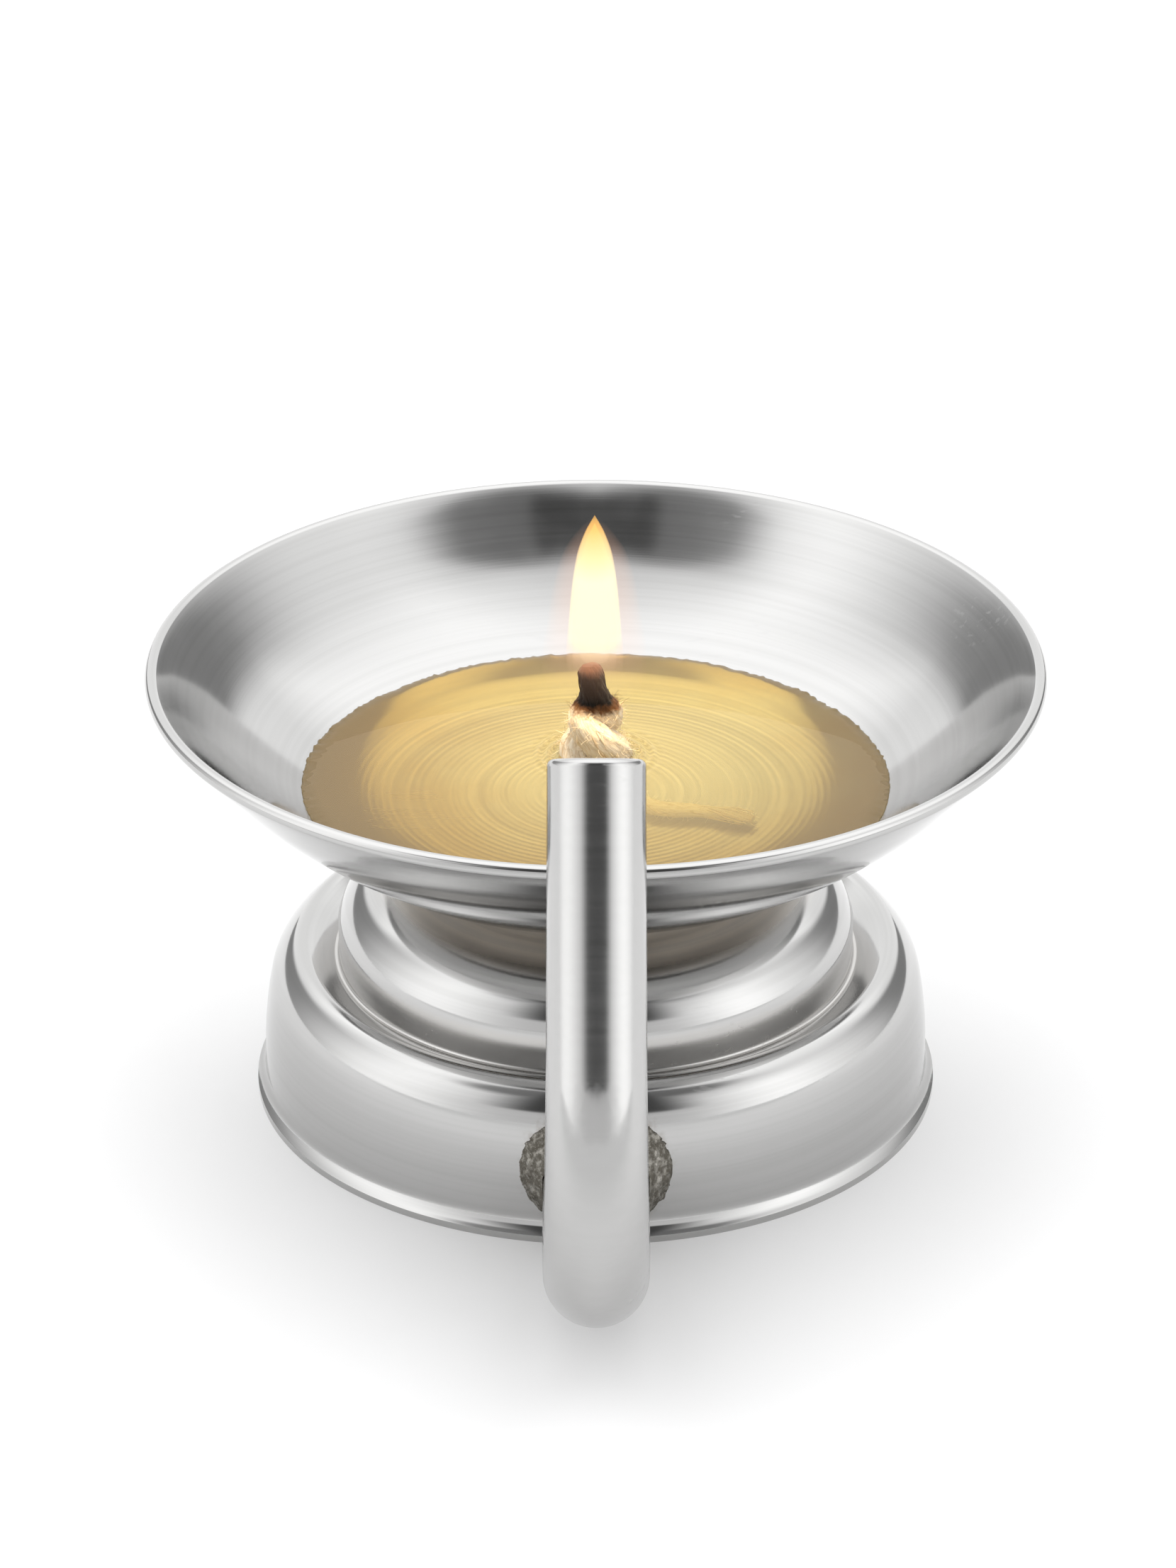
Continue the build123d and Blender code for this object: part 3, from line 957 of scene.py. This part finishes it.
    both = graph.node("GeometryNodeJoinGeometry")
    for piece in (ply, strands, hairs.outputs[0]):
        graph.put(both.inputs[0], piece)
    real = graph.node("GeometryNodeRealizeInstances", {0: both.outputs[0]}).outputs[0]
    smooth = graph.node("GeometryNodeSetShadeSmooth", {0: real}).outputs[0]
    done = graph.node("GeometryNodeSetMaterial", {"Geometry": smooth, "Material": given["Cotton"]}).outputs[0]
    graph.put(result.inputs[0], done)


def twisted(name, guides, values):
    """A mesh of strands along guides: each guide is a list of (point, thickness)."""
    mesh = bpy.data.meshes.new(name)
    points, edges, thickness, along = [], [], [], []
    for guide in guides:
        start = len(points)
        for i, (point, thick) in enumerate(guide):
            points.append(point)
            thickness.append(thick)
            along.append(i / (len(guide) - 1))
        edges += [(start + i, start + i + 1) for i in range(len(guide) - 1)]
    mesh.from_pydata(points, edges, [])
    for attribute, numbers in (("thickness", thickness), ("along", along)):
        mesh.attributes.new(attribute, "FLOAT", "POINT").data.foreach_set("value", numbers)
    obj = put_in_scene(name, mesh)
    modifier = obj.modifiers.new("strands", "NODES")
    modifier.node_group = bpy.data.node_groups["twisted_strands"]
    for item in modifier.node_group.interface.items_tree:
        if item.in_out == "INPUT" and item.name in values:
            modifier[item.identifier] = values[item.name]
    return evaluated_mesh(obj)


def ply_guides(settings):
    """The middle lines of the two plies, which wind round each other and lean a little at the tip."""
    tall = WICK_TIP - WICK_FOOT
    plies = []
    for turn in (0.0, pi):
        guide = []
        for i in range(PLY_STEPS + 1):
            up = tall * i / PLY_STEPS
            radius = smooth_through(WICK_OUTLINE, up)
            angle = -pi / 2 + turn - tau * (up - PLY_CROSSING) / settings.pitch
            lean = TIP_LEAN * max(0.0, up / tall - TIP_LEAN_FROM) ** 2
            centre = WICK_PLACE + Vector((lean, 0, WICK_FOOT + up))
            apart = smooth_through(PLY_STANDOFF, up)
            place = centre + Vector((cos(angle), sin(angle), 0)) * radius * apart
            guide.append((place, radius * (1.02 - apart)))
        plies.append(guide)
    return plies


def tail_guide():
    """The middle line of the tail, a smooth curve on the bowl's floor that sways towards its frayed end."""
    route = bpy.data.curves.new("tail_route", "CURVE")
    route.dimensions = "3D"
    line = route.splines.new("NURBS")
    line.points.add(len(TAIL_ROUTE) - 1)
    for point, (x, y) in zip(line.points, TAIL_ROUTE):
        point.co = (x * MM, y * MM, WICK_FOOT + TAIL_RADIUS * 1.05, 1.0)
    line.order_u = 3
    line.use_endpoint_u = True
    line.resolution_u = 12
    traced = [v.co.copy() for v in evaluated_mesh(put_in_scene("tail_route", route)).vertices]
    guide = []
    for i, point in enumerate(traced):
        part = i / (len(traced) - 1)
        sway = TAIL_SWAY * sin(TAIL_SWAYS * tau * part) * part
        guide.append((point + Vector((0, sway, 0)), TAIL_RADIUS * smooth_through(TAIL_TAPER, part)))
    return guide


class LAMP_OT_twist_wick(bpy.types.Operator):
    """Twist the wick's two plies, with their charred tip, and lay its loose tail on the bowl's floor"""

    bl_idname = "lamp.twist_wick"
    bl_label = "Twist wick"

    def execute(self, context):
        settings = context.scene.lamp_wick
        cotton = cotton_material(settings)
        strand_tree()
        values = {
            "Strands": settings.strands,
            "Strand width": 0.055,
            "Turns": 0.75,
            "Fray": 0.25,
            "Fibres": 7.0e6,
            "Fibre length": 0.9 * MM,
            "Fibre top": WICK_TIP - settings.char_length + 0.2 * MM,
            "Cotton": cotton,
            "Seed": 4,
        }
        standing = finish_mesh("wick_twist", twisted("plies", ply_guides(settings), values))
        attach(standing, "wick")
        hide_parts("wick")

        values.update(
            {"Strands": 30, "Strand width": 0.10, "Turns": 1.6, "Fray": 1.5, "Fibres": 3.0e6, "Seed": 11}
        )
        tail = finish_mesh("wick_tail", twisted("tail", [tail_guide()], values))
        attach(tail, "wick")
        return {"FINISHED"}


# Flame

FLAME_BELOW_TIP = 2.4 * MM
FLAME_SIDE = -0.1 * MM
FLAME_ROWS = 44
FLAME_SEGMENTS = 48
# (share of the height, share of the greatest radius)
FLAME_OUTLINE = [
    (0.0, 0.0),
    (0.012, 0.60),
    (0.05, 0.92),
    (0.12, 1.0),
    (0.2, 1.0),
    (0.36, 0.92),
    (0.58, 0.80),
    (0.77, 0.62),
    (0.905, 0.33),
    (0.965, 0.13),
    (1.0, 0.0),
]
# (width, foot and head as shares of the flame, 0 for the faint haze or 1 for the flame)
FLAME_SHELLS = [(1.9, 0.0, 1.0, 0.0), (1.04, 0.0, 1.0, 1.0), (0.82, 0.08, 0.955, 1.0), (0.58, 0.16, 0.89, 1.0)]
# (share of the height, opacity) of a shell of the flame and of the haze
FLAME_OPACITY = [
    (0.0, 0.0),
    (0.13, 0.0),
    (0.2, 0.07),
    (0.27, 0.22),
    (0.4, 0.58),
    (0.62, 0.72),
    (0.86, 0.62),
    (0.96, 0.42),
    (1.0, 0.2),
]
HAZE_OPACITY = [(0.0, 0.0), (0.15, 0.03), (0.3, 0.09), (0.6, 0.11), (0.85, 0.06), (1.0, 0.0)]


def flame_material(settings, low, high):
    """Glowing gas: thin at the wick, bright in the middle, orange at the tip, with soft edges."""
    made, graph, shader, place = material("burning_gas")
    up = graph.node(
        "ShaderNodeMapRange", {"Value": graph.split(place)[2], "From Min": low, "From Max": high}
    ).outputs[0]
    stops = [(0.0, settings.foot), (0.2, settings.foot), (0.33, settings.core)]
    stops += [(0.66, settings.core), (0.93, settings.tip), (1.0, settings.tip)]
    flicker = graph.math("MULTIPLY", graph.noise(place, 260.0, 1.0), 0.25)
    inner = graph.attribute("depth")
    tint = graph.mix(flicker, graph.ramp(up, stops), settings.core)
    graph.put(shader.inputs["Emission Color"], graph.mix(inner, settings.foot, tint))
    film = graph.curve(up, FLAME_OPACITY)
    haze = graph.curve(up, HAZE_OPACITY)
    gas = graph.math("MULTIPLY_ADD", graph.math("SUBTRACT", film, haze), inner, haze)
    facing = graph.node("ShaderNodeLayerWeight", {"Blend": 0.5}).outputs["Facing"]
    edge = graph.span(facing, graph.span(inner, 0.0, 1.0, 0.0, 0.45), 0.97, 1.0, 0.0)
    graph.put(shader.inputs["Alpha"], graph.math("MULTIPLY", gas, edge))
    shader.inputs["Base Color"].default_value = (0, 0, 0, 1)
    shader.inputs["Specular IOR Level"].default_value = 0.0
    shader.inputs["Roughness"].default_value = 1.0
    shader.inputs["Emission Strength"].default_value = 1.35
    return made


class LAMP_OT_light_flame(bpy.types.Operator):
    """Stand a pointed flame on the wick's tip, as thin shells of glowing gas"""

    bl_idname = "lamp.light_flame"
    bl_label = "Light flame"

    def execute(self, context):
        settings = context.scene.lamp_flame
        low = WICK_TIP - FLAME_BELOW_TIP
        high = WICK_TIP + settings.height
        shape = bmesh.new()
        depth = shape.verts.layers.float.new("depth")
        centre = WICK_PLACE + Vector((FLAME_SIDE, 0, 0))
        for wide, start, end, inner in FLAME_SHELLS:
            foot = low + (high - low) * start
            head = low + (high - low) * end
            profile = []
            for i in range(FLAME_ROWS + 1):
                part = 0.5 - 0.5 * cos(pi * i / FLAME_ROWS)
                radius = settings.radius * wide * smooth_through(FLAME_OUTLINE, part)
                profile.append((0.0 if i in (0, FLAME_ROWS) else radius, foot + (head - foot) * part))
            for ring in lathe(shape, profile, centre, FLAME_SEGMENTS):
                for vert in ring:
                    vert[depth] = inner
        bmesh.ops.recalc_face_normals(shape, faces=shape.faces)
        flame = finish_mesh("flame", mesh_of(shape, "flame"), flame_material(settings, low, high))
        flame.visible_shadow = False
        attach(flame, "wick")
        return {"FINISHED"}


# Stage

FLOOR_SEGMENTS = 96
# Where the painted shade on the floor towards the camera is full, and where it ends
FLOOR_NEAR = -140 * MM
FLOOR_FAR = -50 * MM
GRAIN_SHADE = 0.985
GLOW_ABOVE_TIP = 9 * MM
GLOW_SIZE = 3 * MM


def room_light(graph, way):
    """Brightness of the studio in a direction: bright above and at both sides, dark round the camera.

    Angles are in degrees: rise above the table, and side from the camera's direction towards +X. The sheet
    overhead is drawn in plan, as shares of its height above the lamp."""
    x, y, z = graph.split(way)
    degree = 180 / pi
    rise = graph.math("MULTIPLY", graph.math("ARCSINE", z), degree)
    side = graph.math("MULTIPLY", graph.math("ARCTAN2", x, graph.math("MULTIPLY", y, -1.0)), degree)
    beside = graph.math("ABSOLUTE", side)

    # Panels at both sides, a weak one behind the camera, and the room behind the lamp
    walls = graph.math("MULTIPLY", graph.span(rise, 28.0, 50.0, 1.3, 0.6), graph.hump(side, 68.0, 30.0))
    for centre, width, level in ((-76.0, 36.0, 1.2), (105.0, 18.0, 0.35), (0.0, 40.0, 0.35)):
        walls = graph.math("MULTIPLY_ADD", graph.hump(side, centre, width), level, walls)
    walls = graph.math("ADD", walls, graph.span(beside, 110.0, 132.0, 0.42, 0.29))

    # The dark gap round the camera, and its wings higher up
    gap = graph.math(
        "MULTIPLY", graph.band(side, -33.0, 32.0, 13.0, 11.0), graph.band(rise, 22.5, 64.0, 2.5, 2.0)
    )
    wings = graph.math("MULTIPLY", graph.span(beside, 50.0, 74.0, 0.72, 0.0), graph.span(rise, 42.0, 52.0))
    dark = graph.math("MAXIMUM", graph.math("MULTIPLY", gap, 0.90), wings)
    walls = graph.math("MULTIPLY", walls, graph.math("SUBTRACT", 1.0, dark))

    # The bright sheet overhead, which widens and fades towards the back
    steep = graph.math("MAXIMUM", z, 0.02)
    across = graph.math("ABSOLUTE", graph.math("DIVIDE", x, steep))
    along = graph.math("DIVIDE", y, steep)
    front_edge = graph.math("MULTIPLY_ADD", across, 0.25, -0.49)
    front = graph.span(graph.math("SUBTRACT", along, front_edge), -0.03, 0.03)
    side_edge = graph.math("MULTIPLY_ADD", along, 0.37, 1.15)
    softness = graph.span(along, 0.0, 1.5, -0.75, -0.2)
    within = graph.span(graph.math("SUBTRACT", across, side_edge), softness, 0.3, 1.0, 0.0)
    level = graph.math(
        "SUBTRACT", graph.span(along, -0.45, -0.05, 1.05, 1.72), graph.span(along, 0.4, 1.8, 0.0, 0.5)
    )
    over = graph.math("MULTIPLY", front, within)
    return graph.math("MULTIPLY_ADD", graph.math("SUBTRACT", level, walls), over, walls)


def floor_material(settings):
    """Plain pale paper, with painted shade: a little darker towards the camera, where less light falls."""
    made, graph, shader, place = material("floor_paper")
    grain = graph.noise(place, 40.0, 3.0)
    pale = graph.mix(grain, settings.floor, [channel * GRAIN_SHADE for channel in settings.floor])
    # Painted shade: the floor darkens towards the camera
    painted_shade_near = graph.span(graph.split(place)[1], FLOOR_NEAR, FLOOR_FAR, 1.0, 0.0)
    graph.put(shader.inputs["Base Color"], graph.mix(painted_shade_near, pale, settings.floor_front_painted_shade))
    shader.inputs["Roughness"].default_value = 0.9
    shader.inputs["Specular IOR Level"].default_value = 0.1
    return made


def studio_world(settings):
    """The soft light all round, as a world."""
    world = bpy.data.worlds.new("studio")
    world.use_nodes = True
    sky = Graph(world.node_tree)
    light = room_light(sky, sky.node("ShaderNodeTexCoord").outputs["Generated"])
    strength = sky.math("MULTIPLY", light, settings.light_level)
    glow = sky.node("ShaderNodeBackground", {"Color": (1, 1, 1, 1), "Strength": strength})
    sky.put(sky.node("ShaderNodeOutputWorld").inputs["Surface"], glow.outputs[0])
    return world


def flame_glow(settings):
    """The light that the flame throws on the butter and the wick."""
    light = bpy.data.lights.new("flame_glow", "POINT")
    light.color = settings.glow
    light.energy = settings.glow_power
    light.shadow_soft_size = GLOW_SIZE
    glow = put_in_scene("flame_glow", light)
    glow.location = WICK_PLACE + Vector((0, 0, WICK_TIP + GLOW_ABOVE_TIP))
    glow.visible_glossy = False
    glow.visible_transmission = False
    glow.visible_camera = False


def photo_camera(settings):
    """The camera at the photograph's viewing angle."""
    camera = bpy.data.cameras.new("camera")
    camera.lens = settings.lens
    camera.clip_start = 0.01
    obj = put_in_scene("camera", camera)
    back = Vector((0, -cos(settings.elevation), sin(settings.elevation)))
    aim = Vector((settings.aim_side, 0, settings.aim_height))
    turn = back.to_track_quat("Z", "Y").to_matrix().to_4x4()
    obj.matrix_world = Matrix.Translation(aim + back * settings.distance) @ turn
    return obj


class LAMP_OT_set_stage(bpy.types.Operator):
    """Lay the floor, light the studio and set the camera"""

    bl_idname = "lamp.set_stage"
    bl_label = "Set stage"

    def execute(self, context):
        scene = context.scene
        settings = scene.lamp_stage
        scene.view_settings.view_transform = "Standard"
        shape = bmesh.new()
        bmesh.ops.create_circle(shape, cap_ends=True, segments=FLOOR_SEGMENTS, radius=settings.floor_radius)
        finish_mesh("floor", mesh_of(shape, "floor"), floor_material(settings))
        scene.world = studio_world(settings)
        flame_glow(settings)
        scene.camera = photo_camera(settings)
        return {"FINISHED"}


# Panel and start

STEPS = (
    LAMP_OT_set_stage,
    LAMP_OT_finish_steel,
    LAMP_OT_lay_welds,
    LAMP_OT_pour_butter,
    LAMP_OT_twist_wick,
    LAMP_OT_light_flame,
)


class LAMP_PT_panel(bpy.types.Panel):
    """Lists the lamp's settings and the steps that make it"""

    bl_idname = "LAMP_PT_panel"
    bl_label = "Butter lamp"
    bl_space_type = "VIEW_3D"
    bl_region_type = "UI"
    bl_category = "Butter lamp"

    def draw(self, context):
        for name, group in SETTINGS.items():
            box = self.layout.box()
            for setting in group.__annotations__:
                box.prop(getattr(context.scene, name), setting)
        for step in STEPS:
            self.layout.operator(step.bl_idname)


def register():
    for group in SETTINGS.values():
        bpy.utils.register_class(group)
    for name, group in SETTINGS.items():
        setattr(bpy.types.Scene, name, PointerProperty(type=group))
    for step in STEPS:
        bpy.utils.register_class(step)
    bpy.utils.register_class(LAMP_PT_panel)


def unregister():
    bpy.utils.unregister_class(LAMP_PT_panel)
    for step in reversed(STEPS):
        bpy.utils.unregister_class(step)
    for name, group in SETTINGS.items():
        delattr(bpy.types.Scene, name)
        bpy.utils.unregister_class(group)


def main():
    register()
    bpy.ops.lamp.set_stage()
    bpy.ops.lamp.finish_steel()
    bpy.ops.lamp.lay_welds()
    bpy.ops.lamp.pour_butter()
    bpy.ops.lamp.twist_wick()
    bpy.ops.lamp.light_flame()


if __name__ == "__main__":
    main()
